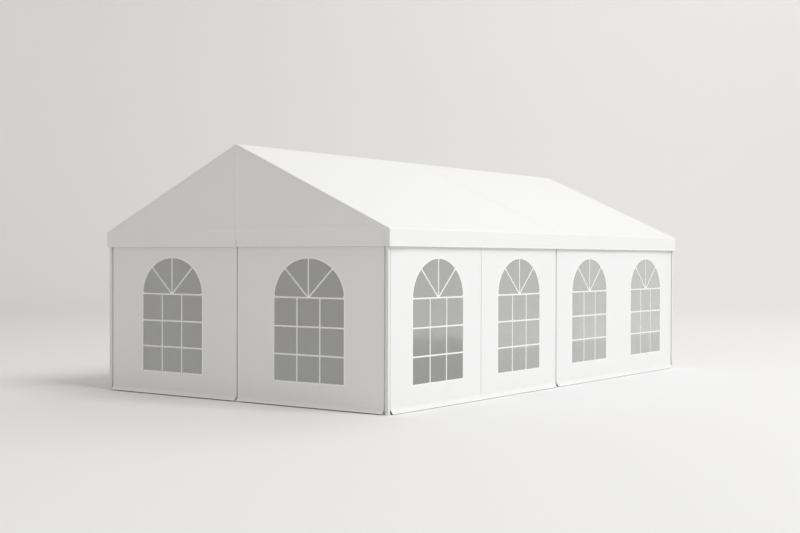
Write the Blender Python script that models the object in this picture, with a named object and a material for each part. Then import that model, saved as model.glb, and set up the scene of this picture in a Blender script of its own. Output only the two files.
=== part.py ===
"""Marquee tent, 8 m long: a frame of box profile, a pitched fabric cover and windowed fabric walls.

Units are metres, +Z is up, and the origin is on the ground under the middle of the tent.
The front gable faces -Y, and the long sides face -X (left) and +X (right).
"""

import math

import bmesh
import bpy

# Outer size of the cover
LENGTH = 8.00
WIDTH = 4.76
RIDGE_Z = 3.22
EAVE_Z = 2.14
VALANCE_DROP = 0.20

# Fabric, modelled thicker than the real 0.6 mm
SHEET = 0.004
FILM = 0.002
GAP = 0.0003

# Frame profiles; the middle posts stand behind the slot between two walls
CORNER_POST = 0.040
MIDDLE_POST_WIDTH = 0.060
MIDDLE_POST_DEPTH = 0.040
MIDDLE_POST_SET_BACK = 0.026
BEAM_WIDTH = 0.040
BEAM_DEPTH = 0.060
BEAM_TOP_Z = 2.09
SIDE_OVERHANG = 0.035
GABLE_OVERHANG = 0.015

# Flanges on the corner posts, where the wall edges are held
FLANGE_WIDTH = 0.024
FLANGE_THICKNESS = 0.006
FLANGE_SET_BACK = 0.030
FLANGE_BOTTOM_Z = 0.020
FLANGE_BELOW_BEAM = 0.010
FLANGE_ROOT = 0.005

# Foot plates, which lie inside the walls
PLATE_SIDE = 0.140
PLATE_THICKNESS = 0.008
PLATE_SET_BACK = 0.016

# Walls
WALL_SET_BACK = 0.010
WALL_EDGE_GAP = 0.022
SIDE_SLOT = 0.046
GABLE_SLOT = 0.032
SKIRT_HEIGHT = 0.065
SKIRT_FLARE = 0.040
SKIRT_CLEARANCE = 0.006

# Windows, one size all round
WINDOW_WIDTH = 1.08
WINDOW_SILL_Z = 0.308
WINDOW_SPRING_Z = 1.32
WINDOW_TOP_Z = 1.79
WINDOW_WELD = 0.030
SIDE_WINDOW_CENTRES = (1.015, 2.940)
GABLE_WINDOW_CENTRE = 1.155
ARCH_SEGMENTS = 28
CUTTER_REACH = 0.020

# Worked out from the sizes above
HALF_WIDTH = WIDTH / 2
HALF_LENGTH = LENGTH / 2
SLOPE = (RIDGE_Z - EAVE_Z) / HALF_WIDTH
PLUMB = math.hypot(1.0, SLOPE)
POST_OUT_X = HALF_WIDTH - SIDE_OVERHANG
POST_OUT_Y = HALF_LENGTH - GABLE_OVERHANG
POST_IN_X = POST_OUT_X - CORNER_POST
POST_IN_Y = POST_OUT_Y - CORNER_POST
WALL_X = POST_OUT_X - WALL_SET_BACK
WALL_Y = POST_OUT_Y - WALL_SET_BACK
MIDDLE_OUT_X = WALL_X - MIDDLE_POST_SET_BACK
MIDDLE_OUT_Y = WALL_Y - MIDDLE_POST_SET_BACK
MIDDLE_HALF = MIDDLE_POST_WIDTH / 2
BEAM_OUT_X = WALL_X - SHEET - GAP
BEAM_OUT_Y = WALL_Y - SHEET - GAP
BEAM_BOTTOM_Z = BEAM_TOP_Z - BEAM_DEPTH
RAFTER_OUT_Y = WALL_Y
RAFTER_IN_Y = RAFTER_OUT_Y - BEAM_WIDTH

FABRIC = ("white_fabric", (0.87, 0.87, 0.86), 0.55, 0.0)
PAINT = ("white_frame_paint", (0.80, 0.80, 0.79), 0.40, 0.0)
CLEAR = ("grey_window_film", (0.42, 0.42, 0.41), 0.20, 0.0)

SIDES = {"left": -1, "right": 1}
ENDS = {"front": -1, "back": 1}


def roof_z(x):
    """Height of the roof's outer surface over a place across the tent."""
    return RIDGE_Z - abs(x) * SLOPE


def roof_under_z(x):
    return roof_z(x) - SHEET * PLUMB


def rafter_top_z(x):
    return roof_under_z(x) - GAP


def rafter_bottom_z(x):
    return rafter_top_z(x) - BEAM_DEPTH * PLUMB


def clear_scene():
    for item in list(bpy.data.objects):
        bpy.data.objects.remove(item, do_unlink=True)


def material(recipe):
    name, colour, roughness, metallic = recipe
    found = bpy.data.materials.get(name)
    if found:
        return found
    made = bpy.data.materials.new(name)
    made.use_nodes = True
    shader = made.node_tree.nodes["Principled BSDF"]
    shader.inputs["Base Color"].default_value = (*colour, 1.0)
    shader.inputs["Roughness"].default_value = roughness
    shader.inputs["Metallic"].default_value = metallic
    return made


def link_mesh(name, bm, recipe):
    bmesh.ops.recalc_face_normals(bm, faces=bm.faces)
    mesh = bpy.data.meshes.new(name)
    bm.to_mesh(mesh)
    bm.free()
    made = bpy.data.objects.new(name, mesh)
    mesh.materials.append(material(recipe))
    bpy.context.scene.collection.objects.link(made)
    return made


def add_prism(bm, outline, low, high, place):
    """Sweep an outline of (u, v) from w = low to w = high, where place gives x, y, z from u, v, w."""
    near = [bm.verts.new(place(u, v, low)) for u, v in outline]
    far = [bm.verts.new(place(u, v, high)) for u, v in outline]
    bm.faces.new(near)
    bm.faces.new(far)
    for i in range(len(outline)):
        j = (i + 1) % len(outline)
        bm.faces.new((near[i], near[j], far[j], far[i]))


def prism(name, outline, low, high, place, recipe):
    bm = bmesh.new()
    add_prism(bm, outline, low, high, place)
    return link_mesh(name, bm, recipe)


def add_box(bm, low, high):
    outline = [(low[0], low[1]), (high[0], low[1]), (high[0], high[1]), (low[0], high[1])]
    add_prism(bm, outline, low[2], high[2], lambda u, v, w: (u, v, w))


def box(name, low, high, recipe):
    bm = bmesh.new()
    add_box(bm, low, high)
    return link_mesh(name, bm, recipe)


def ordered(a, b):
    return (a, b) if a < b else (b, a)


def hide_tool(tool):
    tool.hide_render = True
    tool.display_type = "WIRE"


def combine(target, tool, operation):
    hide_tool(tool)
    step = target.modifiers.new(tool.name, "BOOLEAN")
    step.operation = operation
    step.solver = "EXACT"
    step.object = tool


# Frame

def post(name, x_range, y_range, top_z, flanges, plate):
    """A post cut to the rafter above it, with its flanges and foot plate joined on."""
    bm = bmesh.new()
    corners = [(x, y) for x in x_range for y in y_range]
    outline = [corners[0], corners[1], corners[3], corners[2]]
    foot = [bm.verts.new((x, y, 0.0)) for x, y in outline]
    head = [bm.verts.new((x, y, top_z(x))) for x, y in outline]
    bm.faces.new(foot)
    bm.faces.new(head)
    for i in range(4):
        j = (i + 1) % 4
        bm.faces.new((foot[i], foot[j], head[j], head[i]))
    column = link_mesh(name, bm, PAINT)

    fittings = bmesh.new()
    flange_top_z = BEAM_BOTTOM_Z - FLANGE_BELOW_BEAM
    for low, high in flanges:
        add_box(fittings, (*low, FLANGE_BOTTOM_Z), (*high, flange_top_z))
    add_box(fittings, (*plate[0], 0.0), (*plate[1], PLATE_THICKNESS))
    combine(column, link_mesh(name + "_fittings", fittings, PAINT), "UNION")


def plan_box(x_a, x_b, y_a, y_b):
    """Low and high corners in plan, from places given in any order."""
    x_low, x_high = ordered(x_a, x_b)
    y_low, y_high = ordered(y_a, y_b)
    return (x_low, y_low), (x_high, y_high)


def side_flange(side, y_root, direction):
    """Flange on a post's end face, for the edge of a side wall."""
    x_out = side * (POST_OUT_X - FLANGE_SET_BACK)
    x_in = side * (POST_OUT_X - FLANGE_SET_BACK - FLANGE_THICKNESS)
    return plan_box(x_out, x_in, y_root - direction * FLANGE_ROOT, y_root + direction * FLANGE_WIDTH)


def gable_flange(end, x_root, direction):
    """Flange on a post's side face, for the edge of a gable wall."""
    y_out = end * (POST_OUT_Y - FLANGE_SET_BACK)
    y_in = end * (POST_OUT_Y - FLANGE_SET_BACK - FLANGE_THICKNESS)
    return plan_box(x_root - direction * FLANGE_ROOT, x_root + direction * FLANGE_WIDTH, y_out, y_in)


def plate_across(out, sign):
    """Extent of a foot plate from just inside the wall towards the middle of the tent."""
    return ordered(sign * (out - PLATE_SET_BACK), sign * (out - PLATE_SET_BACK - PLATE_SIDE))


def build_posts():
    def under_rafter(x):
        return rafter_bottom_z(x) - GAP

    centred = (-PLATE_SIDE / 2, PLATE_SIDE / 2)
    for end_name, end in ENDS.items():
        y_range = ordered(end * POST_OUT_Y, end * POST_IN_Y)
        for side_name, side in SIDES.items():
            x_range = ordered(side * POST_OUT_X, side * POST_IN_X)
            flanges = [
                side_flange(side, end * POST_IN_Y, -end),
                gable_flange(end, side * POST_IN_X, -side),
            ]
            plate_x = plate_across(POST_OUT_X, side)
            plate_y = plate_across(POST_OUT_Y, end)
            plate = plan_box(*plate_x, *plate_y)
            post(f"corner_post_{end_name}_{side_name}", x_range, y_range, under_rafter, flanges, plate)

        y_range = ordered(end * MIDDLE_OUT_Y, end * (MIDDLE_OUT_Y - MIDDLE_POST_DEPTH))
        plate = plan_box(*centred, *plate_across(POST_OUT_Y, end))
        peak_z = under_rafter(MIDDLE_HALF)
        post(f"gable_post_{end_name}", (-MIDDLE_HALF, MIDDLE_HALF), y_range, lambda x: peak_z, [], plate)

    for side_name, side in SIDES.items():
        x_range = ordered(side * MIDDLE_OUT_X, side * (MIDDLE_OUT_X - MIDDLE_POST_DEPTH))
        plate = plan_box(*plate_across(POST_OUT_X, side), *centred)
        post(f"side_post_{side_name}", x_range, (-MIDDLE_HALF, MIDDLE_HALF), under_rafter, [], plate)


def build_beams():
    """Eave beams between the posts of a side, and gable beams between these and a gable post."""
    for end_name, end in ENDS.items():
        y_range = ordered(end * (POST_IN_Y - GAP), end * (MIDDLE_HALF + GAP))
        for side_name, side in SIDES.items():
            x_range = ordered(side * BEAM_OUT_X, side * (BEAM_OUT_X - BEAM_WIDTH))
            low = (x_range[0], y_range[0], BEAM_BOTTOM_Z)
            high = (x_range[1], y_range[1], BEAM_TOP_Z)
            box(f"eave_beam_{side_name}_{end_name}", low, high, PAINT)

            x_range = ordered(side * (BEAM_OUT_X - BEAM_WIDTH - GAP), side * (MIDDLE_HALF + GAP))
            gable_y = ordered(end * BEAM_OUT_Y, end * (BEAM_OUT_Y - BEAM_WIDTH))
            low = (x_range[0], gable_y[0], BEAM_BOTTOM_Z)
            high = (x_range[1], gable_y[1], BEAM_TOP_Z)
            box(f"gable_beam_{end_name}_{side_name}", low, high, PAINT)


def build_rafters():
    frames = {
        "front": (-RAFTER_OUT_Y, -RAFTER_IN_Y),
        "middle": (-BEAM_WIDTH / 2, BEAM_WIDTH / 2),
        "back": (RAFTER_IN_Y, RAFTER_OUT_Y),
    }
    for frame_name, y_range in frames.items():
        for side_name, side in SIDES.items():
            outline = [
                (side * GAP / 2, rafter_top_z(GAP / 2)),
                (side * POST_OUT_X, rafter_top_z(POST_OUT_X)),
                (side * POST_OUT_X, rafter_bottom_z(POST_OUT_X)),
                (side * GAP / 2, rafter_bottom_z(GAP / 2)),
            ]
            prism(f"rafter_{frame_name}_{side_name}", outline, *y_range, lambda u, v, w: (u, w, v), PAINT)


def build_ridge_beams():
    top_z = rafter_top_z(BEAM_WIDTH / 2)
    for end_name, end in ENDS.items():
        y_range = ordered(end * (BEAM_WIDTH / 2 + GAP), end * (RAFTER_IN_Y - GAP))
        low = (-BEAM_WIDTH / 2, y_range[0], top_z - BEAM_DEPTH)
        high = (BEAM_WIDTH / 2, y_range[1], top_z)
        box(f"ridge_beam_{end_name}", low, high, PAINT)


# Cover

def build_roof_sheets():
    for side_name, side in SIDES.items():
        outline = [
            (side * GAP / 2, roof_z(GAP / 2)),
            (side * HALF_WIDTH, roof_z(HALF_WIDTH)),
            (side * HALF_WIDTH, roof_under_z(HALF_WIDTH)),
            (side * GAP / 2, roof_under_z(GAP / 2)),
        ]
        along = (-HALF_LENGTH, HALF_LENGTH)
        prism(f"roof_sheet_{side_name}", outline, *along, lambda u, v, w: (u, w, v), FABRIC)


def build_valances():
    top_z = roof_under_z(HALF_WIDTH) - GAP
    bottom_z = EAVE_Z - VALANCE_DROP
    for side_name, side in SIDES.items():
        x_range = ordered(side * HALF_WIDTH, side * (HALF_WIDTH - SHEET))
        low = (x_range[0], -HALF_LENGTH, bottom_z)
        high = (x_range[1], HALF_LENGTH, top_z)
        box(f"valance_{side_name}", low, high, FABRIC)


def build_gable_sheets():
    half = HALF_WIDTH - SHEET - GAP
    bottom_z = EAVE_Z - VALANCE_DROP
    outline = [
        (-half, bottom_z),
        (half, bottom_z),
        (half, roof_under_z(half) - GAP),
        (0.0, roof_under_z(0.0) - GAP),
        (-half, roof_under_z(half) - GAP),
    ]
    for end_name, end in ENDS.items():
        y_range = ordered(end * HALF_LENGTH, end * (HALF_LENGTH - SHEET))
        prism(f"gable_sheet_{end_name}", outline, *y_range, lambda u, v, w: (u, w, v), FABRIC)


# Walls and windows

def arch_outline(centre, margin):
    """Window outline with an elliptical arch, grown outwards by a margin."""
    half = WINDOW_WIDTH / 2 + margin
    rise = WINDOW_TOP_Z - WINDOW_SPRING_Z + margin
    points = [(centre - half, WINDOW_SILL_Z - margin), (centre + half, WINDOW_SILL_Z - margin)]
    for i in range(ARCH_SEGMENTS + 1):
        angle = math.pi * i / ARCH_SEGMENTS
        points.append((centre + half * math.cos(angle), WINDOW_SPRING_Z + rise * math.sin(angle)))
    return points


def wall_section():
    """Section through a wall as (outwards, height), from its top down the outer face and up the inner."""
    lean = math.hypot(SKIRT_HEIGHT, SKIRT_FLARE) / SKIRT_HEIGHT
    return [
        (0.0, BEAM_TOP_Z),
        (0.0, SKIRT_HEIGHT),
        (SKIRT_FLARE, SKIRT_CLEARANCE),
        (SKIRT_FLARE - SHEET * lean, SKIRT_CLEARANCE),
        (-SHEET, SKIRT_HEIGHT),
        (-SHEET, BEAM_TOP_Z),
    ]


def wall(name, along, window_centres, place):
    """Wall between two posts; place gives x, y, z from the place along, the outward offset and the height."""
    sheet = prism(name, wall_section(), *along, lambda u, v, w: place(w, u, v), FABRIC)
    cutters = bmesh.new()
    for centre in window_centres:
        outline = arch_outline(centre, 0.0)
        add_prism(cutters, outline, -CUTTER_REACH, CUTTER_REACH, lambda u, v, w: place(u, w, v))
    combine(sheet, link_mesh(name + "_window_cutter", cutters, FABRIC), "DIFFERENCE")


def window(name, centre, place):
    outer = -SHEET - GAP
    prism(name, arch_outline(centre, WINDOW_WELD), outer - FILM, outer, lambda u, v, w: place(u, w, v), CLEAR)


def build_side_walls():
    start = SIDE_SLOT / 2
    stop = POST_IN_Y - WALL_EDGE_GAP
    for side_name, side in SIDES.items():
        def place(along, out, z, side=side):
            return (side * (WALL_X + out), along, z)

        centres = []
        for end_name, end in ENDS.items():
            bay_centres = [end * centre for centre in SIDE_WINDOW_CENTRES]
            wall(f"side_wall_{side_name}_{end_name}", ordered(end * start, end * stop), bay_centres, place)
            centres += bay_centres
        for number, centre in enumerate(sorted(centres), start=1):
            window(f"window_{side_name}_{number}", centre, place)


def build_gable_walls():
    start = GABLE_SLOT / 2
    stop = POST_IN_X - WALL_EDGE_GAP
    for end_name, end in ENDS.items():
        def place(along, out, z, end=end):
            return (along, end * (WALL_Y + out), z)

        for side_name, side in SIDES.items():
            centre = side * GABLE_WINDOW_CENTRE
            wall(f"gable_wall_{end_name}_{side_name}", ordered(side * start, side * stop), [centre], place)
            window(f"window_{end_name}_{side_name}", centre, place)


def main():
    clear_scene()
    build_posts()
    build_beams()
    build_rafters()
    build_ridge_beams()
    build_roof_sheets()
    build_valances()
    build_gable_sheets()
    build_side_walls()
    build_gable_walls()


main()
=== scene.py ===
# %% [markdown]
# # Dressing a marquee tent
# The frame that loads here is the tent's solid model: posts, beams and rafters of box profile,
# with plain slabs where the fabric goes. The metal stays as it is and only gets its paint. The
# slabs are replaced with a sewn roof cover, gable covers, walls and clear windows, built on the
# places that the slabs give, so nothing has to be fitted by eye.

import math

import bmesh
import bpy
from mathutils import Matrix, Vector


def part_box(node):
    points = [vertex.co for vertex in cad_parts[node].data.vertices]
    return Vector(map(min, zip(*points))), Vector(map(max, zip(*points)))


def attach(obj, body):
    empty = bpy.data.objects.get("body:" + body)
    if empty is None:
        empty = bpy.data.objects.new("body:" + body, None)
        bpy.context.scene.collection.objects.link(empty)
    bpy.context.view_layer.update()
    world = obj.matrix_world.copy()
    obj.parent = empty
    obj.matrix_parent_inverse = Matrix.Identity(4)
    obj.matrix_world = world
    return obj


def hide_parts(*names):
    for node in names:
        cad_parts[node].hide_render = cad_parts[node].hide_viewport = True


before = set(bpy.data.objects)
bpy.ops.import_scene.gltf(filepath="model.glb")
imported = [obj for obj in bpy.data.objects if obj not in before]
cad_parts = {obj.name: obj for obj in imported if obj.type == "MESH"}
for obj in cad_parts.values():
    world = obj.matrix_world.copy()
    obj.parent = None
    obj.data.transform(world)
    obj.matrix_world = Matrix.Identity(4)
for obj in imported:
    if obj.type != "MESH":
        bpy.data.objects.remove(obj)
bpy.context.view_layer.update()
print("solid pieces:", len(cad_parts))

# %% [markdown]
# ## Sizes
# Everything is in metres. The planes of the walls and the extent of each wall are read from the
# solids, and only the sizes that a tent maker would know by heart are written here: hems, weld
# seams, the skirt that flares out on the floor and the window pattern.

# %% Sizes of the fabric and the windows
SHEET = 0.0014
SKIRT_FLARE = 0.040
FOLD_Z = 0.065
WALL_TOP_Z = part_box("side_wall_right_front")[1].z
PLANE = {
    "side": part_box("side_wall_right_front")[1].x - SKIRT_FLARE,
    "gable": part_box("gable_wall_back_right")[1].y - SKIRT_FLARE,
    "cover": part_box("gable_sheet_back")[1].y - 0.0015,
}

HALF = 0.54
SILL_Z = 0.308
SPRING_Z = 1.32
RISE = 0.47
BAR = 0.0180
BAR_ACROSS = (0.6300, 0.9700)
BAR_UPRIGHT = 0.178
FAN_ANGLE = math.radians(43.5)

TENT_HALF_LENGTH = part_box("roof_sheet_right")[1].y
TENT_HALF_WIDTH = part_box("roof_sheet_right")[1].x
RIDGE_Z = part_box("roof_sheet_right")[1].z
EAVE_Z = 2.14
VALANCE_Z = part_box("valance_right")[0].z - 0.008
SLOPE = (RIDGE_Z - EAVE_Z) / TENT_HALF_WIDTH
print("wall planes:", {kind: round(reach, 4) for kind, reach in PLANE.items()})

# %% [markdown]
# ## A few makers' helpers
# All the sheets are made the same way. Rows of points are skinned with quads in a flat pattern,
# as a sailmaker would chalk it on the floor: `u` runs along the wall, `out` is how far a point
# stands proud of it, and `z` is its height. The pattern is then hung on its wall, given its real
# thickness and frozen into a plain mesh. Starting from the flat pattern keeps every seam straight
# and lets the same code sew the front, back, left and right of the tent.

# %% Helpers that skin and finish a sheet
def ease(x):
    """Go smoothly from 0 to 1 as x does."""
    x = min(1.0, max(0.0, x))
    return x * x * (3 - 2 * x)


def add_grid(bm, rows, closed=False, taped=()):
    """Skin rows of points with quads. What follows a row in taped has the second finish."""
    made = [[bm.verts.new(point) for point in row] for row in rows]
    for number, (near, far) in enumerate(zip(made, made[1:])):
        for i in range(len(near) if closed else len(near) - 1):
            j = (i + 1) % len(near)
            face = bm.faces.new((near[i], near[j], far[j], far[i]))
            face.material_index = int(number in taped)


def face_outwards(bm):
    """Turn all faces of an open sheet away from the middle of the tent."""
    bmesh.ops.recalc_face_normals(bm, faces=bm.faces)
    middle = Vector((0.0, 0.0, 1.0))
    outward = sum(f.normal.dot(f.calc_center_median() - middle) * f.calc_area() for f in bm.faces)
    if outward < 0:
        bmesh.ops.reverse_faces(bm, faces=bm.faces)


def freeze(piece, sharp_degrees=40):
    """Apply the modifiers, so that what shows is a real mesh, smooth except at its sharp edges."""
    evaluated = piece.evaluated_get(bpy.context.evaluated_depsgraph_get())
    mesh = bpy.data.meshes.new_from_object(evaluated)
    piece.modifiers.clear()
    piece.data = mesh
    mesh.shade_smooth()
    mesh.set_sharp_from_angle(angle=math.radians(sharp_degrees))


def new_sheet(name, bm, finishes, thickness=SHEET):
    """Make a piece of the tent from an open skin, thickened inwards, that rides with the frame."""
    bmesh.ops.remove_doubles(bm, verts=bm.verts, dist=0.00005)
    face_outwards(bm)
    mesh = bpy.data.meshes.new(name)
    bm.to_mesh(mesh)
    bm.free()
    piece = bpy.data.objects.new(name, mesh)
    bpy.context.scene.collection.objects.link(piece)
    for finish in finishes:
        mesh.materials.append(finish)
    shell = piece.modifiers.new("thickness", "SOLIDIFY")
    shell.thickness = thickness
    shell.offset = -1.0
    shell.use_even_offset = True
    freeze(piece)
    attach(piece, "root")
    return piece


# %% [markdown]
# ## Effects that the finishes share
# Three things show on every coated fabric: the threads under the coat, a slow unevenness from
# rolling and folding, and a little dust that settles low down. Each is one node group with named
# inputs, built once and placed in each material with its own values. Groups only put out heights
# and masks, and the shader itself stays in the material.

# %% Node helpers
def new_group(name, settings, result):
    """Start a shader node group with a place, named settings and one named result."""
    group = bpy.data.node_groups.new(name, "ShaderNodeTree")
    sockets = group.interface
    sockets.new_socket(name="Place", in_out="INPUT", socket_type="NodeSocketVector")
    for label, value in settings.items():
        made = sockets.new_socket(name=label, in_out="INPUT", socket_type="NodeSocketFloat")
        made.default_value = value
    sockets.new_socket(name=result, in_out="OUTPUT", socket_type="NodeSocketFloat")
    return group, group.nodes.new("NodeGroupInput"), group.nodes.new("NodeGroupOutput")


def feed(tree, entry, value):
    """Give an input its value: another node's result, or a plain number."""
    if isinstance(value, bpy.types.NodeSocket):
        tree.links.new(value, entry)
    else:
        entry.default_value = value


def calculate(tree, operation, *values):
    """Add a Math node fed by results or plain numbers, and give its own."""
    node = tree.nodes.new("ShaderNodeMath")
    node.operation = operation
    for entry, value in zip(node.inputs, values):
        feed(tree, entry, value)
    return node.outputs[0]


def noise(tree, place, scale, detail=2.0):
    """Add a Noise Texture at a place, and give its value from 0 to 1."""
    node = tree.nodes.new("ShaderNodeTexNoise")
    node.inputs["Detail"].default_value = detail
    tree.links.new(place, node.inputs["Vector"])
    feed(tree, node.inputs["Scale"], scale)
    return node.outputs["Fac"]


# %% Threads, rumple, and dust that also paints shade on the window film, as node groups
def make_threads():
    """A plain weave: threads over and under each other, seen through their coat."""
    group, given, result = new_group("woven_threads", {"Pitch": 0.0012}, "Height")
    split = group.nodes.new("ShaderNodeSeparateXYZ")
    group.links.new(given.outputs["Place"], split.inputs[0])
    turns = calculate(group, "DIVIDE", math.tau, given.outputs["Pitch"])
    warp = calculate(group, "SINE", calculate(group, "MULTIPLY", split.outputs["X"], turns))
    weft = calculate(group, "SINE", calculate(group, "MULTIPLY", split.outputs["Y"], turns))
    height = calculate(group, "MULTIPLY_ADD", calculate(group, "MULTIPLY", warp, weft), 0.5, 0.5)
    group.links.new(height, result.inputs["Height"])
    return group


def make_rumple():
    """Slow waves, with thin creases where the sheet was once folded."""
    settings = {"Waves per metre": 3.0, "Creases": 0.2}
    group, given, result = new_group("rolled_rumple", settings, "Height")
    place = given.outputs["Place"]
    waves = noise(group, place, given.outputs["Waves per metre"])
    finer = calculate(group, "MULTIPLY", given.outputs["Waves per metre"], 1.7)
    ridge = noise(group, place, finer, 0.0)
    off_ridge = calculate(group, "ABSOLUTE", calculate(group, "SUBTRACT", ridge, 0.5))
    near_ridge = calculate(group, "SUBTRACT", 1.0, calculate(group, "MULTIPLY", off_ridge, 30.0))
    crease = calculate(group, "MAXIMUM", near_ridge, 0.0)
    raised = calculate(group, "MULTIPLY", crease, given.outputs["Creases"])
    group.links.new(calculate(group, "ADD", waves, raised), result.inputs["Height"])
    return group


def make_dust_and_shade():
    """Where dust lies on the fabric and the frame, and where painted shade lies on the window
    film: most near the floor, in soft patches.
    """
    group, given, result = new_group("settled_dust", {"Reach up": 0.35}, "Mask")
    split = group.nodes.new("ShaderNodeSeparateXYZ")
    group.links.new(given.outputs["Place"], split.inputs[0])
    share = calculate(group, "DIVIDE", split.outputs["Z"], given.outputs["Reach up"])
    low = calculate(group, "SUBTRACT", 1.0, calculate(group, "MINIMUM", share, 1.0))
    patches = noise(group, given.outputs["Place"], 9.0, 4.0)
    everywhere = calculate(group, "MULTIPLY", noise(group, given.outputs["Place"], 2.2, 3.0), 0.35)
    dust_and_shade_amount = calculate(group, "MULTIPLY_ADD", low, patches, everywhere)
    group.links.new(calculate(group, "MINIMUM", dust_and_shade_amount, 1.0), result.inputs["Mask"])
    return group


THREADS = make_threads()
RUMPLE = make_rumple()
DUST_AND_SHADE = make_dust_and_shade()
print("node groups:", THREADS.name, RUMPLE.name, DUST_AND_SHADE.name)

# %% [markdown]
# ## The finishes
# The walls and the cover are polyester cloth with a white vinyl coat. It is satin, and up close
# the threads show through as a fine grid. The threads run with the sheet, so the grid is laid
# along the wall and upwards on walls and gables, and along the ridge and down the slope on the
# roof. Adding x and y gives the distance along any wall, because each wall is flat to one of
# them. Hems, window welds and bars are of the same cloth, but the hot tool presses their threads
# flat, which leaves them smoother and a little whiter. On the rope beads beside the slots between
# walls, that whiter colour is also a painted highlight.

# %% Helpers that build a material
def use(tree, group, **values):
    """Place a node group in a material, with its inputs fed or set by name."""
    node = tree.nodes.new("ShaderNodeGroup")
    node.node_tree = group
    for label, value in values.items():
        feed(tree, node.inputs[label.replace("_", " ")], value)
    return node.outputs[0]


def new_material(name):
    """A material with its shader, its node tree and the place on the tent in metres."""
    made = bpy.data.materials.new(name)
    made.use_nodes = True
    tree = made.node_tree
    place = tree.nodes.new("ShaderNodeTexCoord").outputs["Object"]
    return made, tree, tree.nodes["Principled BSDF"], place


def stretch(tree, value, low, high):
    """Map a value from 0..1 to a range."""
    node = tree.nodes.new("ShaderNodeMapRange")
    tree.links.new(value, node.inputs["Value"])
    node.inputs["To Min"].default_value = low
    node.inputs["To Max"].default_value = high
    return node.outputs["Result"]


def blend_colour(tree, mask, clean, marked):
    """Mix two colours by a mask."""
    node = tree.nodes.new("ShaderNodeMix")
    node.data_type = "RGBA"
    tree.links.new(mask, node.inputs["Factor"])
    node.inputs["A"].default_value = (*clean, 1.0)
    node.inputs["B"].default_value = (*marked, 1.0)
    return node.outputs["Result"]


def bumped(tree, layers):
    """Stack Bump nodes, each a (height, depth in metres) pair, and give the last normal."""
    normal = None
    for height, depth in layers:
        node = tree.nodes.new("ShaderNodeBump")
        node.inputs["Strength"].default_value = 1.0
        node.inputs["Distance"].default_value = depth
        tree.links.new(height, node.inputs["Height"])
        if normal is not None:
            tree.links.new(normal, node.inputs["Normal"])
        normal = node.outputs["Normal"]
    return normal


# %% Coated fabric
THREAD_PITCH = 0.0014


def coated_fabric(name, on_roof=False, pressed_with_highlight=False):
    """White coated cloth: threads laid for the walls or the roof, or flattened by a weld and made
    whiter, which on the rope beads is a painted highlight.
    """
    made, tree, shader, place = new_material(name)
    split = tree.nodes.new("ShaderNodeSeparateXYZ")
    tree.links.new(place, split.inputs[0])
    x, y, z = split.outputs
    if on_roof:
        along = y
        across = calculate(tree, "SUBTRACT", calculate(tree, "ABSOLUTE", x), z)
    else:
        along = calculate(tree, "ADD", x, y)
        across = z
    laid = tree.nodes.new("ShaderNodeCombineXYZ")
    tree.links.new(along, laid.inputs["X"])
    tree.links.new(across, laid.inputs["Y"])
    threads = use(tree, THREADS, Place=laid.outputs[0], Pitch=THREAD_PITCH)
    rumple = use(tree, RUMPLE, Place=place, Waves_per_metre=2.6, Creases=0.05)
    dust_and_shade = use(tree, DUST_AND_SHADE, Place=place, Reach_up=0.30)
    clean, dusty = (0.87, 0.87, 0.87), (0.83, 0.828, 0.815)
    roughness, thread_depth = 0.42, 0.00004
    # The taped cloth is whiter: partly the weld's own finish, partly a painted highlight on the
    # rope beads.
    if pressed_with_highlight:
        clean, dusty = (0.95, 0.95, 0.95), (0.90, 0.898, 0.886)
        roughness, thread_depth = 0.30, 0.00001
    tree.links.new(blend_colour(tree, dust_and_shade, clean, dusty), shader.inputs["Base Color"])
    tree.links.new(stretch(tree, dust_and_shade, roughness, 0.60), shader.inputs["Roughness"])
    shader.inputs["Specular IOR Level"].default_value = 0.3
    normal = bumped(tree, [(rumple, 0.0012), (threads, thread_depth)])
    tree.links.new(normal, shader.inputs["Normal"])
    return made


wall_fabric = coated_fabric("wall_fabric")
roof_fabric = coated_fabric("roof_fabric", on_roof=True)
weld_tape = coated_fabric("weld_tape", pressed_with_highlight=True)
print("fabric finishes:", wall_fabric.name, roof_fabric.name, weld_tape.name)

# %% [markdown]
# The posts and beams are powder coated. Melted powder settles into a very fine orange peel, so the
# finish is a smooth satin white with a slight bump. The windows are clear flexible film, painted
# grey as shade for the dim inside of the tent seen through it, and painted darker and greener low
# down as more of that shade. It is less than a millimetre thick and never quite flat, so its sheen
# wanders a little. Both faces of such a film shine, and the coat stands for the two of them, so
# its index is higher than that of one face.

# %% Powder coat and window film
def powder_coat():
    """White powder coat with a fine orange peel, dustier near the floor."""
    made, tree, shader, place = new_material("powder_coat")
    dust_and_shade = use(tree, DUST_AND_SHADE, Place=place, Reach_up=0.25)
    colour = blend_colour(tree, dust_and_shade, (0.83, 0.83, 0.82), (0.74, 0.735, 0.72))
    tree.links.new(colour, shader.inputs["Base Color"])
    tree.links.new(stretch(tree, dust_and_shade, 0.34, 0.50), shader.inputs["Roughness"])
    peel = noise(tree, place, 420.0, 1.0)
    tree.links.new(bumped(tree, [(peel, 0.00006)]), shader.inputs["Normal"])
    return made


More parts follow.
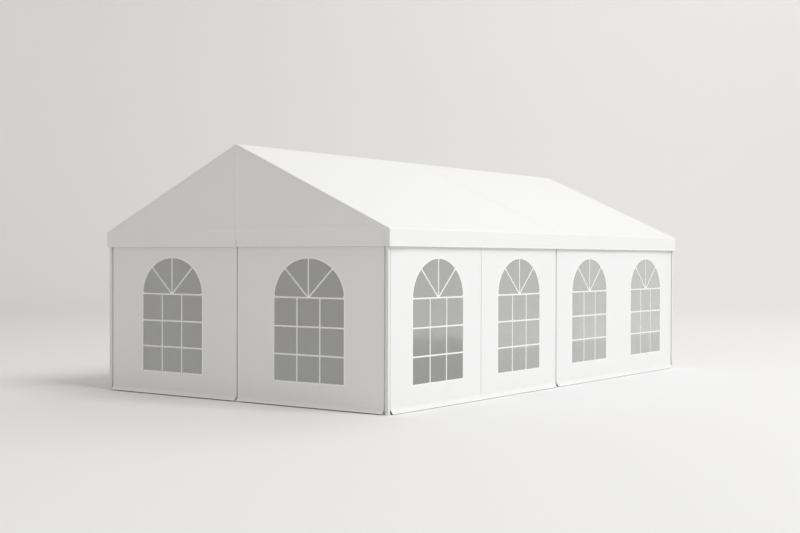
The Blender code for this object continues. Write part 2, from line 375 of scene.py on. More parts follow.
def clear_film():
    """Glossy film that lets a little through, grey as painted shade for the dim inside seen
    through it, and darker and greener low down as more painted shade.
    """
    made, tree, shader, place = new_material("clear_film")
    # Painted shade: the grey stands for the dim inside seen through clear film, and the mask makes
    # it darker and greener low down.
    dust_and_shade = use(tree, DUST_AND_SHADE, Place=place, Reach_up=0.9)
    colour = blend_colour(tree, dust_and_shade, (0.275, 0.275, 0.268), (0.23, 0.235, 0.22))
    tree.links.new(colour, shader.inputs["Base Color"])
    tree.links.new(stretch(tree, dust_and_shade, 0.10, 0.22), shader.inputs["Roughness"])
    rumple = use(tree, RUMPLE, Place=place, Waves_per_metre=3.5, Creases=0.0)
    tree.links.new(bumped(tree, [(rumple, 0.004)]), shader.inputs["Normal"])
    shader.inputs["Alpha"].default_value = 0.82
    shader.inputs["Coat Weight"].default_value = 1.0
    shader.inputs["Coat IOR"].default_value = 1.8
    shader.inputs["Coat Roughness"].default_value = 0.08
    return made


frame_paint = powder_coat()
window_film = clear_film()
print("other finishes:", frame_paint.name, window_film.name)

# %% [markdown]
# ## The metal frame
# The solids of the frame already have their real shape, so they stay. Box profile is rolled with
# rounded corners, and a small bevel gives each edge the thin highlight that a sharp solid lacks.

# %% Paint the posts, beams and rafters
METAL = ("corner_post", "side_post", "gable_post", "eave_beam", "gable_beam", "ridge_beam",
         "rafter")
painted = [node for name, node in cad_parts.items() if name.startswith(METAL)]
for node in painted:
    node.data.materials.clear()
    node.data.materials.append(frame_paint)
    rounding = node.modifiers.new("rounded_corners", "BEVEL")
    rounding.width = 0.0015
    rounding.segments = 2
    rounding.limit_method = "ANGLE"
    rounding.harden_normals = True
print("painted:", len(painted))

# %% [markdown]
# ## How a hung wall bellies
# A wall is pulled tight between its posts and the beam above, so it can only belly by a few
# millimetres in its middle, and it pulls in short shallow folds from its corners. A cloth
# simulation could make this too. One function that gives it for any place on a wall is steadier:
# the wall, its windows and their bars all use it, so they stay together.

# %% The shape of a stretched wall
# Each fold: its angle, its half width, its height and how far it reaches from the corner.
PULLS = ((math.radians(52), 0.016, 0.0016, 0.85), (math.radians(67), 0.014, 0.0011, 0.62),
         (math.radians(34), 0.014, 0.0009, 0.55))


def pull_folds(panel, u, z):
    """Folds that fan out from the corners where a wall is pulled."""
    total = 0.0
    for corner_u, turn in ((panel["start"], 1), (panel["stop"], -1)):
        for corner_z, drop, share in ((1.93, -1, 1.0), (0.10, 1, 0.45)):
            across_u = (u - corner_u) * turn
            across_z = (z - corner_z) * drop
            for angle, width, height, reach in PULLS:
                along = across_u * math.cos(angle) + across_z * math.sin(angle)
                off = across_z * math.cos(angle) - across_u * math.sin(angle)
                spread = width + 0.10 * max(along, 0.0)
                fade = ease(along / 0.18) * ease((reach - along) / (0.7 * reach))
                total += share * height * fade * math.exp(-((off / spread) ** 2))
    return total


def belly(panel, u, z):
    """How far a stretched wall stands out of its plane at a place on it."""
    from_edge = min(u - panel["start"], panel["stop"] - u)
    held = ease(from_edge / 0.30) * ease((1.98 - z) / 0.35)
    phase = panel["phase"]
    slow = math.sin(math.tau * (u / 1.35 + 0.10 * math.sin(2.3 * z + phase)) + phase)
    quick = math.sin(math.tau * u / 0.52 + 1.9 * z + 2.3 * phase)
    waves = held * (0.0022 + 0.0015 * slow + 0.0005 * quick)
    return waves + ease(from_edge / 0.08) * pull_folds(panel, u, z)


def on_the_tent(panel, u, out, z):
    """Where a point of the flat pattern is on the tent."""
    reach = panel["sign"] * (PLANE[panel["kind"]] + out)
    return Vector((reach, u, z)) if panel["kind"] == "side" else Vector((u, reach, z))


def hang(bm, panel, shape=belly):
    """Move a flat pattern of (u, out, z) to its wall."""
    for vert in bm.verts:
        u, out, z = vert.co
        vert.co = on_the_tent(panel, u, out + shape(panel, u, z), z)


# %% The eight walls, read from the solids
def read_panels():
    """Each wall's name, side, ends and windows."""
    panels = []
    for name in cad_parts:
        if "_wall_" not in name:
            continue
        low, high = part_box(name)
        kind = name.split("_")[0]
        axis = 1 if kind == "side" else 0
        sign = 1 if (low + high)[1 - axis] > 0 else -1
        windows = []
        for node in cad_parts:
            if node.startswith("window_"):
                middle = sum(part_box(node), Vector()) / 2
                inside = low[axis] < middle[axis] < high[axis]
                if inside and abs(middle[1 - axis] - sign * PLANE[kind]) < 0.05:
                    windows.append((middle[axis], node))
        panels.append({
            "name": name,
            "kind": kind,
            "sign": sign,
            "start": low[axis],
            "stop": high[axis],
            "phase": 0.7 * len(panels) + 0.4,
            "seam": name in ("side_wall_right_front", "side_wall_left_front"),
            "windows": sorted(windows),
        })
    return panels


panels = read_panels()
for panel in panels:
    print(panel["name"], [round(centre, 3) for centre, name in panel["windows"]])

# %% [markdown]
# ## Window outlines
# Each window is a tall opening with an arch on top, a little flatter than half a circle. The cloth
# around it is skinned in rings: the inner ring follows the opening, the next ones make the raised
# weld, and the outer ones turn into the rectangle of the panel. So the mesh flows round the
# window, which no cut-out by a Boolean would give.

# %% Outlines of an opening and its panel
SILL_STEPS = 30
JAMB_STEPS = 30
ARCH_STEPS = 48
SHOULDER_Z = 1.46


def opening(centre, grow):
    """The window's outline, grown by a margin, anticlockwise from the left end of the sill."""
    half = HALF + grow
    base = SILL_Z - grow
    points = [(centre - half + 2 * half * i / SILL_STEPS, base) for i in range(SILL_STEPS)]
    points += [(centre + half, base + (SPRING_Z - base) * i / JAMB_STEPS)
               for i in range(JAMB_STEPS)]
    for i in range(ARCH_STEPS):
        angle = math.pi * i / ARCH_STEPS
        u = centre + half * math.cos(angle)
        points.append((u, SPRING_Z + (RISE + grow) * math.sin(angle)))
    points += [(centre - half, SPRING_Z - (SPRING_Z - base) * i / JAMB_STEPS)
               for i in range(JAMB_STEPS)]
    return points


def side_levels():
    """Heights of the points down a panel's side."""
    levels = [FOLD_Z + (SHOULDER_Z - FOLD_Z) * i / JAMB_STEPS for i in range(JAMB_STEPS)]
    quarter = ARCH_STEPS // 4
    return levels + [SHOULDER_Z + (WALL_TOP_Z - SHOULDER_Z) * i / quarter
                     for i in range(quarter + 1)]


def panel_outline(left, right):
    """The rectangle around an opening, with a point for each point of the opening."""
    levels = side_levels()
    points = [(left + (right - left) * i / SILL_STEPS, FOLD_Z) for i in range(SILL_STEPS)]
    points += [(right, z) for z in levels[:-1]]
    across = ARCH_STEPS // 2
    points += [(right + (left - right) * i / across, WALL_TOP_Z) for i in range(across)]
    points += [(left, z) for z in reversed(levels[1:])]
    return points


# %% The cloth around an opening
# Rings around the opening, as (distance from it, out).
RINGS = ((0.0015, 0.0), (0.0025, 0.0006), (0.0045, 0.0010), (0.0165, 0.0010), (0.0185, 0.0),
         (0.0240, 0.0))
WELDED_RINGS = (0, 1, 2, 3)
SPREAD_STEPS = 14


def add_cell(bm, centre, left, right):
    """The cloth of one panel around one window."""
    rows = [[(u, out, z) for u, z in opening(centre, grow)] for grow, out in RINGS]
    inner = opening(centre, RINGS[-1][0])
    outer = panel_outline(left, right)
    for step in range(1, SPREAD_STEPS + 1):
        share = step / SPREAD_STEPS
        rows.append([(a[0] + share * (b[0] - a[0]), 0.0, a[1] + share * (b[1] - a[1]))
                     for a, b in zip(inner, outer)])
    add_grid(bm, rows, closed=True, taped=WELDED_RINGS)


# %% [markdown]
# ## The walls
# At its ends each wall has a doubled hem and turns in towards the post, where it is held on a
# corner post's flange or laid against a middle post. That leaves the narrow dark recess beside
# each corner post, and one dark slot between two walls. One wall of each such pair has a rope bead
# in its hem, which catches the light beside the slot. At the bottom the wall folds outwards into
# a skirt that lies nearly on the floor, and ends in a hem. The turned-in end goes on down to the
# floor and spreads into a gusset, which closes all but a slit of the skirt's open end. The front
# walls of the long sides are sewn from two widths, so they have one lapped seam between their
# windows.

# %% Profiles of a wall's edges
# The ends are (distance in from the edge, out), from the wall to its edge. The lap is (along,
# out), and the skirt is (out, height), from the fold down. SLIT is how much of a skirt's end stays
# open, and HEM_LIFT how much higher its hem hangs.
HEM_END = ((0.0220, 0.0), (0.0190, 0.0), (0.0170, 0.0008), (0.0090, 0.0008), (0.0050, 0.0006),
           (0.0024, 0.0), (0.0007, -0.0014), (0.0, -0.0036))
BEAD_END = ((0.0220, 0.0), (0.0190, 0.0), (0.0170, 0.0008), (0.0090, 0.0010), (0.0064, 0.0032),
            (0.0034, 0.0032), (0.0007, -0.0006), (0.0, -0.0036))
# The bead's rows take the whiter tape, a painted highlight beside the slot.
BEAD = (3, 4, 5)
RETURN_DEPTH = {"corner": 0.0195, "middle": 0.0255}
LAP = ((-0.028, 0.0), (-0.012, 0.0), (-0.0050, -0.0010), (-0.0030, -0.0060), (0.0008, -0.0060),
       (0.0016, 0.0042), (0.0060, 0.0042), (0.0220, 0.0020), (0.0250, 0.0), (0.028, 0.0))
SKIRT = ((0.0, 0.0650), (0.0009, 0.0595), (0.0036, 0.0540), (0.0075, 0.0480), (0.0180, 0.0335),
         (0.0285, 0.0200), (0.0296, 0.0188), (0.0312, 0.0174), (0.0384, 0.0110), (0.0398, 0.0086))
SKIRT_HEM = (5, 6, 7, 8)
SLIT = {"side": 0.030, "gable": 0.017}
GUSSET_Z = 0.0086
HEM_LIFT = {"side": -0.0025, "gable": 0.0035}


# %% Sew a wall
def add_strip(bm, columns, taped=()):
    """Cloth between two uprights, from columns of (u, out)."""
    add_grid(bm, [[(u, out, z) for z in side_levels()] for u, out in columns], taped=taped)


def add_gusset(bm, end, turn, depth, profile, slit):
    """The turned-in end below the fold: straight down to the floor, and out under the skirt."""
    inset, rounding = profile[-2]
    rows = []
    for out, z in SKIRT:
        reach = max(rounding, out - slit)
        share = (reach - rounding) / SKIRT_FLARE
        edge = [(end, -depth), (end, -0.6 * depth), (end, profile[-1][1]),
                (end + turn * inset, rounding), (end + turn * (inset + 0.005 * share), reach)]
        rows.append([(u, step, max(z, GUSSET_Z)) for u, step in edge])
    add_grid(bm, rows)


def sew_wall(panel):
    """A whole wall: its turned-in ends, the cloth round its windows, and its skirt."""
    bm = bmesh.new()
    start, stop = panel["start"], panel["stop"]
    edges = []
    for end, turn in ((start, 1), (stop, -1)):
        at_middle = abs(end) < 0.1
        beaded = at_middle and panel["sign"] * (start + stop) < 0
        profile = BEAD_END if beaded else HEM_END
        depth = RETURN_DEPTH["middle" if at_middle else "corner"]
        edge = [(end + turn * inset, out) for inset, out in profile]
        add_strip(bm, edge + [(end, -0.6 * depth), (end, -depth)], taped=BEAD if beaded else ())
        add_gusset(bm, end, turn, depth, profile, SLIT[panel["kind"]])
        edges.append(edge[:-1])
    foot = [*reversed(edges[0])]

    centres = [centre for centre, name in panel["windows"]]
    joints = [(a + b) / 2 for a, b in zip(centres, centres[1:])]
    lap = [[(joint + offset, out * panel["seam"]) for offset, out in LAP] for joint in joints]
    lefts = [start + HEM_END[0][0]] + [columns[-1][0] for columns in lap]
    rights = [columns[0][0] for columns in lap] + [stop - HEM_END[0][0]]
    for number, (centre, left, right) in enumerate(zip(centres, lefts, rights)):
        add_cell(bm, centre, left, right)
        foot += [(left + (right - left) * i / SILL_STEPS, 0.0) for i in range(1, SILL_STEPS)]
        if number < len(lap):
            add_strip(bm, lap[number])
            foot += lap[number]
    foot += edges[1]

    rows = []
    for out, z in SKIRT:
        fade = ease((FOLD_Z - z) / FOLD_Z)
        lifted = z + fade * HEM_LIFT[panel["kind"]]
        row = []
        for u, step in foot:
            sway = 0.0016 * math.sin(7.1 * u + panel["phase"]) + 0.0008 * math.sin(17.0 * u)
            row.append((u, out + step * (1 - fade) + fade * (sway - 0.0016), lifted))
        rows.append(row)
    add_grid(bm, rows, taped=SKIRT_HEM)
    hang(bm, panel)

    finishes = [wall_fabric, weld_tape]
    piece = new_sheet("wall_" + panel["name"].replace("_wall", ""), bm, finishes)
    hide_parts(panel["name"])
    return piece


# %% All eight walls
for panel in panels:
    panel["wall"] = sew_wall(panel)

# %% [markdown]
# ## Window film and bars
# The film is one sheet, welded behind the opening. In front of it lies a grid of white strips: two
# uprights, two crossings and a fan of three under the arch. The strips are cut from one sheet, so
# the panes are holes with slightly rounded corners. The grid is drawn flat as outlines, and the
# fill between them is what stays.

# %% Film behind an opening
FILM = 0.0007
FILM_BACK = -0.0028
FILM_MARGIN = 0.024
FILM_COLUMNS = 26
FILM_ROWS = 30


def make_film(panel, centre, node):
    """The film of one window, a little larger than its opening all round."""
    bm = bmesh.new()
    rows = []
    for i in range(FILM_COLUMNS + 1):
        share = -math.cos(math.pi * i / FILM_COLUMNS)
        top = SPRING_Z + (RISE + FILM_MARGIN) * math.sqrt(max(0.0, 1 - share * share))
        u = centre + share * (HALF + FILM_MARGIN)
        base = SILL_Z - FILM_MARGIN
        rows.append([(u, FILM_BACK, base + (top - base) * j / FILM_ROWS)
                     for j in range(FILM_ROWS + 1)])
    add_grid(bm, rows)
    hang(bm, panel)
    film = new_sheet("film_" + node.replace("window_", ""), bm, [window_film], FILM)
    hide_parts(node)
    return film


# %% Softened corners
PANE_CORNER = 0.007
SPRING_CORNER = 0.034


def soften(points):
    """Round each sharp corner of a closed outline."""
    count = len(points)
    rounded = []
    skip = set()
    corners = {}
    for i in range(count):
        before = Vector(points[i]) - Vector(points[i - 1])
        after = Vector(points[(i + 1) % count]) - Vector(points[i])
        if before.angle(after) > math.radians(25):
            at_spring = abs(points[i][0]) > 0.5 and points[i][1] > SPRING_Z
            reach = SPRING_CORNER if at_spring else PANE_CORNER
            ends = []
            for step in (-1, 1):
                here, at, left = i, Vector(points[i]), reach
                while True:
                    following = Vector(points[(here + step) % count])
                    span = (following - at).length
                    if span > left:
                        ends.append(at + (following - at) * (left / span))
                        break
                    left -= span
                    at = following
                    here += step
                    skip.add(here % count)
            corners[i] = ends
    for i in range(count):
        if i in corners:
            start, stop = corners[i]
            corner = Vector(points[i])
            for k in range(5):
                t = k / 4
                bent = (1 - t) ** 2 * start + 2 * t * (1 - t) * corner + t * t * stop
                rounded.append(tuple(bent))
        elif i not in skip:
            rounded.append(points[i])
    return rounded


# %% Lines and arches between the bars
def run(start, stop, steps):
    """Points on a straight line, without its last one."""
    return [(start[0] + (stop[0] - start[0]) * i / steps,
             start[1] + (stop[1] - start[1]) * i / steps) for i in range(steps)]


def arch(start, stop, steps):
    """Points on the window's arch between two angles, without the last one."""
    angles = [start + (stop - start) * i / steps for i in range(steps)]
    return [(HALF * math.cos(angle), SPRING_Z + RISE * math.sin(angle)) for angle in angles]


def meet_arch(side):
    """Where an edge of the slanting bar meets the arch: its place and the arch's angle there."""
    low, high = 0.1, 1.0
    for step in range(40):
        along = (low + high) / 2
        u = along * math.cos(FAN_ANGLE) - side * BAR / 2 * math.sin(FAN_ANGLE)
        z = along * math.sin(FAN_ANGLE) + side * BAR / 2 * math.cos(FAN_ANGLE)
        low, high = (along, high) if (u / HALF) ** 2 + (z / RISE) ** 2 < 1 else (low, along)
    return math.atan2(z / RISE, u / HALF)


# %% Outlines of the panes
def pane_outlines():
    """All thirteen panes round a window centre of u = 0, as outlines with softened corners."""
    half_bar = BAR / 2
    uprights = (-HALF, -BAR_UPRIGHT, BAR_UPRIGHT, HALF)
    crossings = (SILL_Z, *BAR_ACROSS, SPRING_Z)
    panes = []
    for i in range(3):
        left = uprights[i] + (half_bar if i > 0 else 0.0)
        right = uprights[i + 1] - (half_bar if i < 2 else 0.0)
        for j in range(3):
            low = crossings[j] + (half_bar if j > 0 else 0.0)
            high = crossings[j + 1] - half_bar
            corners = [(left, low), (right, low), (right, high), (left, high)]
            sides = zip(corners, corners[1:] + corners[:1])
            panes.append([point for a, b in sides for point in run(a, b, 8)])
    base = SPRING_Z + half_bar
    foot = half_bar * (1 + math.cos(FAN_ANGLE)) / math.sin(FAN_ANGLE)
    foot_u = foot * math.cos(FAN_ANGLE) + half_bar * math.sin(FAN_ANGLE)
    rise = half_bar * (1 + math.sin(FAN_ANGLE)) / math.cos(FAN_ANGLE)
    rise_z = SPRING_Z + rise * math.sin(FAN_ANGLE) + half_bar * math.cos(FAN_ANGLE)
    spring = math.asin(half_bar / RISE)
    lower, upper = meet_arch(-1), meet_arch(1)
    top = math.acos(half_bar / HALF)
    arch_at = {angle: arch(angle, angle + 1, 1)[0] for angle in (spring, lower, upper, top)}
    outer = (run((foot_u, base), arch_at[spring], 10) + arch(spring, lower, 14)
             + run(arch_at[lower], (foot_u, base), 10))
    inner = (run((half_bar, rise_z), arch_at[upper], 10) + arch(upper, top, 12)
             + run(arch_at[top], (half_bar, rise_z), 10))
    for outline in (outer, inner):
        panes.append(outline)
        panes.append([(-u, z) for u, z in reversed(outline)])
    return [soften(outline) for outline in panes]


PANES = pane_outlines()
print("panes in a window:", len(PANES))

# %% Bars in front of the film
BARS = 0.0012
BARS_BACK = SHEET + 0.0001
BARS_MARGIN = 0.012


def make_bars(panel, centre, node):
    """The bars of one window, as a sheet with a hole for each pane."""
    bm = bmesh.new()
    for outline in [opening(0.0, BARS_MARGIN), *PANES]:
        ring = [bm.verts.new((centre + u, -BARS_BACK, z)) for u, z in outline]
        for a, b in zip(ring, ring[1:] + ring[:1]):
            bm.edges.new((a, b))
    bmesh.ops.triangle_fill(bm, use_beauty=True, edges=bm.edges[:], normal=(0.0, 1.0, 0.0))
    hang(bm, panel)
    return new_sheet("bars_" + node.replace("window_", ""), bm, [weld_tape], BARS)


# %% All twelve windows
for panel in panels:
    panel["films"] = []
    for centre, node in panel["windows"]:
        film = make_film(panel, centre, node)
        panel["films"].append(film)
        bars = make_bars(panel, centre, node)

# %% [markdown]
# ## Gable covers
# Each gable end is closed by one flat sheet under the roof, which hangs down past the beam as a
# valance. A weld band runs across it at the height of the eaves, a seam runs up its middle, and
# its lower edge is hemmed. The last stretch of that seam is left open below the beam, so that the
# valance can be lifted over the post, and it shows as a short upright slit. The sheet is skinned
# in upright columns that end at the slope of the roof, where a cut would leave ragged faces.

# %% Shape of a gable cover
# The band and the hem are (height, out), and the seam is (along, out).
SLAB = 0.004
COVER_SHEET = 0.0012
GABLE_HALF = TENT_HALF_WIDTH - 0.0045
BAND = ((2.1300, 0.0), (2.1322, 0.0013), (2.1740, 0.0013), (2.1762, 0.0))
HEM = ((0.0, -0.0010), (0.0006, 0.0010), (0.0030, 0.0018), (0.0120, 0.0012), (0.0145, 0.0002),
       (0.0190, 0.0))
SEAM = ((-0.0300, 0.0), (-0.0160, 0.0), (-0.0145, 0.0008), (-0.0045, 0.0008), (0.0045, 0.0008),
        (0.0060, 0.0022), (0.0100, 0.0022), (0.0124, 0.0002), (0.0300, 0.0))
OPEN_SEAM_Z = VALANCE_Z + 0.086
CORNER_BAND = 0.058
BAND_STEP = 0.0009


def roof_underside(x):
    """Height of the roof slab's underside, where the gable cover ends."""
    return RIDGE_Z - abs(x) * SLOPE - SLAB * math.hypot(1, SLOPE)


def cover_shape(panel, u, z):
    """Slow unevenness of a gable cover, and the slightly parted end of its seam."""
    from_edge = min(GABLE_HALF - abs(u), (roof_underside(u) - z) * 0.9)
    held = ease(from_edge / 0.35)
    slow = math.sin(2.1 * u + 1.3 * z + panel["phase"]) * math.sin(1.7 * z - 0.6 * u)
    fall = 0.0007 * math.sin(3.1 * u + 2 * panel["phase"])
    fall *= ease((2.10 - z) / 0.16) * ease(from_edge / 0.1)
    part = 0.0012 * math.tanh(u / 0.002)
    part *= ease((OPEN_SEAM_Z - z) / 0.03) * ease((0.12 - abs(u)) / 0.1)
    return 0.0011 * held * slow + fall + part


def cover_levels(u):
    """Heights and steps of a gable cover at one place along it, from the hem up to the roof."""
    hem_top = VALANCE_Z + HEM[-1][0]
    levels = [(VALANCE_Z + rise, out) for rise, out in HEM]
    levels += [(hem_top + (OPEN_SEAM_Z - hem_top) * i / 4, 0.0) for i in range(1, 5)]
    levels += [(OPEN_SEAM_Z + (BAND[0][0] - OPEN_SEAM_Z) * i / 5, 0.0) for i in range(1, 5)]
    top = roof_underside(u) - 0.0002
    levels += [(min(z, top - 0.001 * (len(BAND) - i)), out) for i, (z, out) in enumerate(BAND)]
    base = levels[-1][0]
    return levels + [(base + (top - base) * i / 26, 0.0) for i in range(1, 27)]


# %% Sew the gable covers
def open_seam(bm):
    """Leave the middle seam unsewn below the beam."""
    places = [(face, face.calc_center_median()) for face in bm.faces]
    gap = [face for face, at in places if abs(at.x) < SEAM[4][0] / 2 and at.z < OPEN_SEAM_Z]
    bmesh.ops.delete(bm, geom=gap, context="FACES_ONLY")


def sew_gable_cover(end, sign):
    """One gable's cover, from its hem up to the roof."""
    panel = {"kind": "cover", "sign": sign, "phase": 0.9 * sign}
    plain = GABLE_HALF - CORNER_BAND
    seam_end = SEAM[-1][0]
    half = [(seam_end + (plain - seam_end) * i / 34, 0.0) for i in range(1, 35)]
    half += [(u, BAND_STEP) for u in (plain + 0.0025, GABLE_HALF - 0.03, GABLE_HALF)]
    columns = [(-u, step) for u, step in reversed(half)] + list(SEAM) + half
    bm = bmesh.new()
    add_grid(bm, [[(u, out + step, z) for z, out in cover_levels(u)] for u, step in columns])
    open_seam(bm)
    hang(bm, panel, cover_shape)
    piece = new_sheet("gable_cover_" + end, bm, [wall_fabric], COVER_SHEET)
    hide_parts("gable_sheet_" + end)


for end, sign in (("front", -1), ("back", 1)):
    sew_gable_cover(end, sign)

# %% [markdown]
# ## The roof cover
# The roof is one sheet from the left valance over both slopes to the right valance. It is drawn as
# a section across the tent, with rounded folds at the ridge and the eaves, and swept from gable
# to gable. At both ends it folds over the edge of the gable cover and is hemmed there. It sinks
# by a few millimetres between the frames, and a welded lap lies over the middle frame. The
# valances hang in towards the walls by a few millimetres, except at the corners.

# %% Section of the roof cover
LIFT = 0.0025
EAVE_RADIUS = 0.012
SLOPE_ANGLE = math.atan(SLOPE)
END_FOLD = 0.006
END_LAP = 0.006
SAG = 0.007
HALF_LAP = 0.021
LAP_STEP = 0.0022
ROOF_SHEET = 0.0016
FOLDS, HANGS = 2.0, 3.0


def half_section():
    """The section from the ridge down, as (x, z, normal x, normal z, kind).

    The kind is the share of the way down on a slope, or else FOLDS or HANGS.
    """
    top = RIDGE_Z - LIFT
    wall_x = TENT_HALF_WIDTH - 0.0002
    corner_z = top - wall_x * SLOPE
    tangent = EAVE_RADIUS * math.tan((math.pi / 2 - SLOPE_ANGLE) / 2)
    slope_end = wall_x - tangent * math.cos(SLOPE_ANGLE)
    nx, nz = math.sin(SLOPE_ANGLE), math.cos(SLOPE_ANGLE)
    section = [(0.0, top - 0.0006, 0.0, 1.0, 0.0),
               (0.0030, top - 0.0030 * SLOPE - 0.0001, nx, nz, 0.0)]
    for i in range(1, 31):
        x = 0.0030 + (slope_end - 0.0030) * i / 30
        section.append((x, top - x * SLOPE, nx, nz, i / 30))
    centre_x = wall_x - EAVE_RADIUS
    centre_z = corner_z - tangent
    for i in range(1, 8):
        angle = math.pi / 2 - SLOPE_ANGLE - (math.pi / 2 - SLOPE_ANGLE) * i / 7
        nx, nz = math.cos(angle), math.sin(angle)
        section.append((centre_x + EAVE_RADIUS * nx, centre_z + EAVE_RADIUS * nz, nx, nz, FOLDS))
    start_z = centre_z - 0.004
    hem_z = VALANCE_Z + HEM[-1][0]
    section += [(wall_x, start_z + (hem_z - start_z) * i / 8, 1.0, 0.0, HANGS) for i in range(9)]
    section += [(wall_x + out, VALANCE_Z + rise, 1.0, 0.0, HANGS)
                for rise, out in reversed(HEM[:-1])]
    return section


def full_section():
    """The whole section from the left valance to the right one."""
    right = half_section()
    left = [(-x, z, -nx, nz, -kind) for x, z, nx, nz, kind in right[1:]]
    return left[::-1] + right


# %% Sag and hang of the roof cover
FRAME_SPACING = 3.955
CORNER_Y = 3.9
HANG_IN = 0.009
HANG_TOP_Z = 2.13
HANG_DROP = 0.18


def bays_along():
    """Places along the tent, close together at the lap over the middle frame."""
    end = TENT_HALF_LENGTH + 0.0015 - END_FOLD
    near = [0.0, 0.012, HALF_LAP - 0.0008, HALF_LAP, HALF_LAP + 0.006]
    far = [near[-1] + (end - near[-1]) * i / 44 for i in range(1, 45)]
    return [-y for y in reversed(far)] + [-y for y in reversed(near[1:])] + near + far


def cover_rise(y, x, kind):
    """How far the cover stands off its section: sag, lap, and the valance's wave."""
    share = abs(kind)
    if share <= 1.0:
        between = math.sin(math.pi * min(1.0, abs(y) / FRAME_SPACING)) ** 2
        across = math.sin(math.pi * share) ** 0.8 if 0 < share < 1 else 0.0
        lap = 0.0
        if abs(y) < HALF_LAP:
            lap = ease((share - 0.005) / 0.02) * ease((0.995 - share) / 0.02)
        return LAP_STEP * lap - SAG * between * across
    if share == HANGS:
        wave = 0.0012 * math.sin(4.3 * y + (1.0 if x > 0 else 2.2)) + 0.0006 * math.sin(11.0 * y)
        return (wave - HANG_IN) * ease((CORNER_Y - abs(y)) / 0.4)
    return 0.0


def folded_end(section, sign, end, fold):
    """A row of the fold over the gable: 1 and 2 go round it, and 3 is the edge of the lap."""
    angle = min(fold, 2) * math.pi / 4
    inward = END_FOLD * (1 - math.cos(angle)) + (END_LAP if fold == 3 else 0.0)
    y = sign * (end + END_FOLD * math.sin(angle))
    return [(x - nx * inward, y, z - nz * inward) for x, z, nx, nz, kind in section]


# %% Sew the roof cover
def sew_roof_cover():
    """The whole cover, swept along the tent and folded over both gables."""
    section = full_section()
    places = bays_along()
    end = places[-1]
    rows = [folded_end(section, -1, end, fold) for fold in (3, 2, 1)]
    for y in places:
        row = []
        for x, z, nx, nz, kind in section:
            rise = cover_rise(y, x, kind)
            if abs(kind) == HANGS:
                rise *= min(1.0, max(0.0, (HANG_TOP_Z - z) / HANG_DROP))
            row.append((x + nx * rise, y, z + nz * rise))
        rows.append(row)
    rows += [folded_end(section, 1, end, fold) for fold in (1, 2, 3)]
    bm = bmesh.new()
    add_grid(bm, rows)
    cover = new_sheet("roof_cover", bm, [roof_fabric], ROOF_SHEET)
    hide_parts("roof_sheet_left", "roof_sheet_right", "valance_left", "valance_right")
    return cover


roof_cover = sew_roof_cover()

# %% [markdown]
# ## Floor and light
# The tent stands in a studio: a pale floor that curves up into a round backdrop, so that there is
# a soft horizon from every side. A wide soft light stands on the right, high up, and leaves the
# gable in soft shade. Two dimmer ones behind the tent light the roof and the floor, and one
# washes the backdrop. The rest of the light comes from all around and is a little warm.

# %% Round studio backdrop
FLOOR_REACH = 27.0
COVE = 14.0
BACKDROP_TOP_Z = 16.0


def studio():
    """A round floor that curves up into its backdrop, spun from one profile."""
    made, tree, shader, place = new_material("studio_white")
    shader.inputs["Base Color"].default_value = (0.883, 0.880, 0.880, 1.0)
    shader.inputs["Roughness"].default_value = 0.9
    profile = [(0.01, 0.0), (6.0, 0.0), (14.0, 0.0), (FLOOR_REACH, 0.0)]
    for i in range(1, 13):
        angle = math.pi / 2 * i / 12
        profile.append((FLOOR_REACH + COVE * math.sin(angle), COVE * (1 - math.cos(angle))))
    profile.append((FLOOR_REACH + COVE, BACKDROP_TOP_Z))
    bm = bmesh.new()
    turns = [math.tau * i / 96 for i in range(96)]
    rows = [[(reach * math.cos(turn), reach * math.sin(turn), z) for turn in turns]
            for reach, z in profile]
    add_grid(bm, rows, closed=True)
    bmesh.ops.recalc_face_normals(bm, faces=bm.faces)
    mesh = bpy.data.meshes.new("studio")
    bm.to_mesh(mesh)
    bm.free()
    mesh.materials.append(made)
    mesh.shade_smooth()
    room = bpy.data.objects.new("studio", mesh)
    bpy.context.scene.collection.objects.link(room)
    print("floor and backdrop:", len(mesh.polygons), "faces")


studio()


# %% Soft lights
def soft_light(name, spot, aim, size, watts, colour=(1.0, 1.0, 1.0)):
    """A wide lamp at a spot, turned to what it lights."""
    lamp = bpy.data.lights.new(name, "AREA")
    lamp.shape = "RECTANGLE"
    lamp.color = colour
    lamp.size, lamp.size_y = size
    lamp.energy = watts
    light = bpy.data.objects.new(name, lamp)
    light.location = spot
    light.rotation_euler = (Vector(aim) - Vector(spot)).to_track_quat("-Z", "Y").to_euler()
    bpy.context.scene.collection.objects.link(light)
    return light


COOL = (0.955, 0.965, 1.0)
MILD = (0.98, 0.972, 1.0)
TENT = (0.0, 0.0, 1.0)
BACK = (0.0, 4.0, 1.0)
soft_light("key_from_the_right", (26.0, -1.0, 30.0), TENT, (18.0, 18.0), 8180.0, COOL)
soft_light("top_light_from_the_back", (-1.0, 17.0, 23.0), TENT, (16.0, 16.0), 1010.0, MILD)
soft_light("second_light_from_the_back", (2.0, 26.0, 24.0), BACK, (16.0, 10.0), 790.0, MILD)
soft_light("wash_on_the_backdrop", (-9.0, 27.0, 19.0), (-17.0, 37.0, 4.0), (24.0, 5.0), 684.0)
print("lights:", len(bpy.data.lights))

# %% World light
world = bpy.data.worlds.new("even_light")
bpy.context.scene.world = world
world.use_nodes = True
background = world.node_tree.nodes["Background"]
background.inputs["Color"].default_value = (1.0, 0.978, 0.90, 1.0)
background.inputs["Strength"].default_value = 0.405
bpy.context.scene.view_settings.view_transform = "Standard"

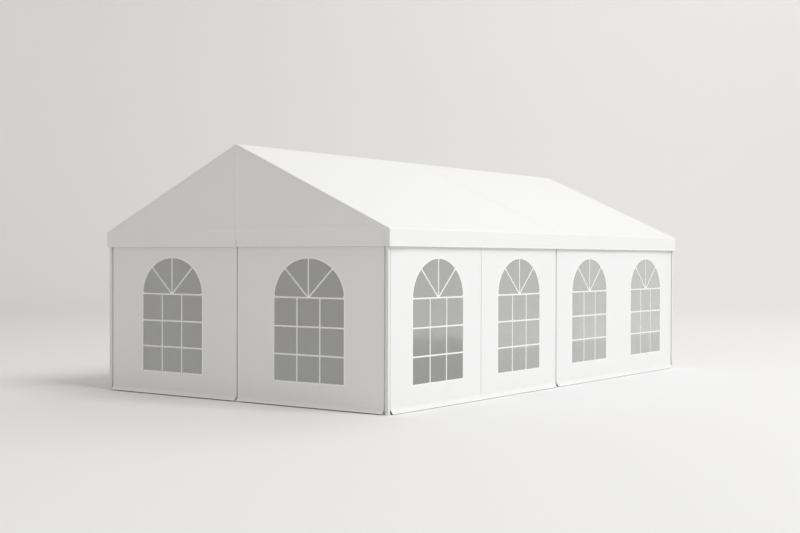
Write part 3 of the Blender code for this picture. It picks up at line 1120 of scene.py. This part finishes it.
# %% [markdown]
# ## Something for the windows to show
# Window film is glossy and shows what stands opposite, so it needs something to show. As around a
# bottle in a photographer's studio, dim cards stand near the tent, and light linking keeps them
# for the films alone. They end at the floor or a little above it, so the lower panes show the
# floor instead and are darker.

# %% Cards for the films
def films_of(kind, sign):
    """A collection of the films on one side of the tent."""
    films = bpy.data.collections.new("films_of_the_" + kind)
    for panel in panels:
        if panel["kind"] == kind and panel["sign"] == sign:
            for film in panel["films"]:
                films.objects.link(film)
    return films


def stand_card(films, name, spot, aim, size, watts):
    """A dim card that shows in these films and nowhere else."""
    card = soft_light(name, spot, aim, size, watts)
    card.visible_diffuse = False
    card.visible_camera = False
    card.light_linking.receiver_collection = films


side = films_of("side", 1)
gable = films_of("gable", -1)
stand_card(side, "card_beyond_the_side", (10.2, 8.0, 1.5), (10.2, 0.0, 1.5), (3.6, 3.0), 27.0)
stand_card(side, "card_at_the_far_side", (3.5, 4.4, 1.2), (0.0, 4.4, 1.2), (4.0, 2.4), 22.6)
stand_card(side, "card_at_the_near_side", (3.5, 1.1, 1.2), (0.0, 1.1, 1.2), (2.0, 2.4), 9.6)
stand_card(side, "card_above_the_floor", (3.45, 3.25, 1.42), (0.0, 3.25, 1.42), (6.3, 1.96), 10.6)
stand_card(gable, "card_at_the_gable", (-1.25, -5.3, 1.2), (-1.25, 0.0, 1.2), (4.4, 2.4), 24.8)

# %% [markdown]
# ## The camera
# The camera is where the photograph was taken from, 1.8 m above the floor. Its place and lens were
# fitted to the corners, eaves, ridge and foot lines of the tent, which also gave it a roll of a
# small part of a degree.

# %% Camera at the photograph's angle
lens = bpy.data.cameras.new("camera")
lens.lens = 56.5
lens.sensor_width = 36.0
lens.clip_end = 200.0
camera = bpy.data.objects.new("camera", lens)
turned = Matrix.Rotation(math.radians(35.723), 4, "Z")
tilted = Matrix.Rotation(math.radians(89.645), 4, "X")
rolled = Matrix.Rotation(math.radians(0.149), 4, "Z")
camera.matrix_world = Matrix.Translation((10.8104, -15.5257, 1.7898)) @ turned @ tilted @ rolled
bpy.context.scene.collection.objects.link(camera)
bpy.context.scene.camera = camera
print("camera", round(camera.matrix_world.translation.z, 2), "m above the floor")
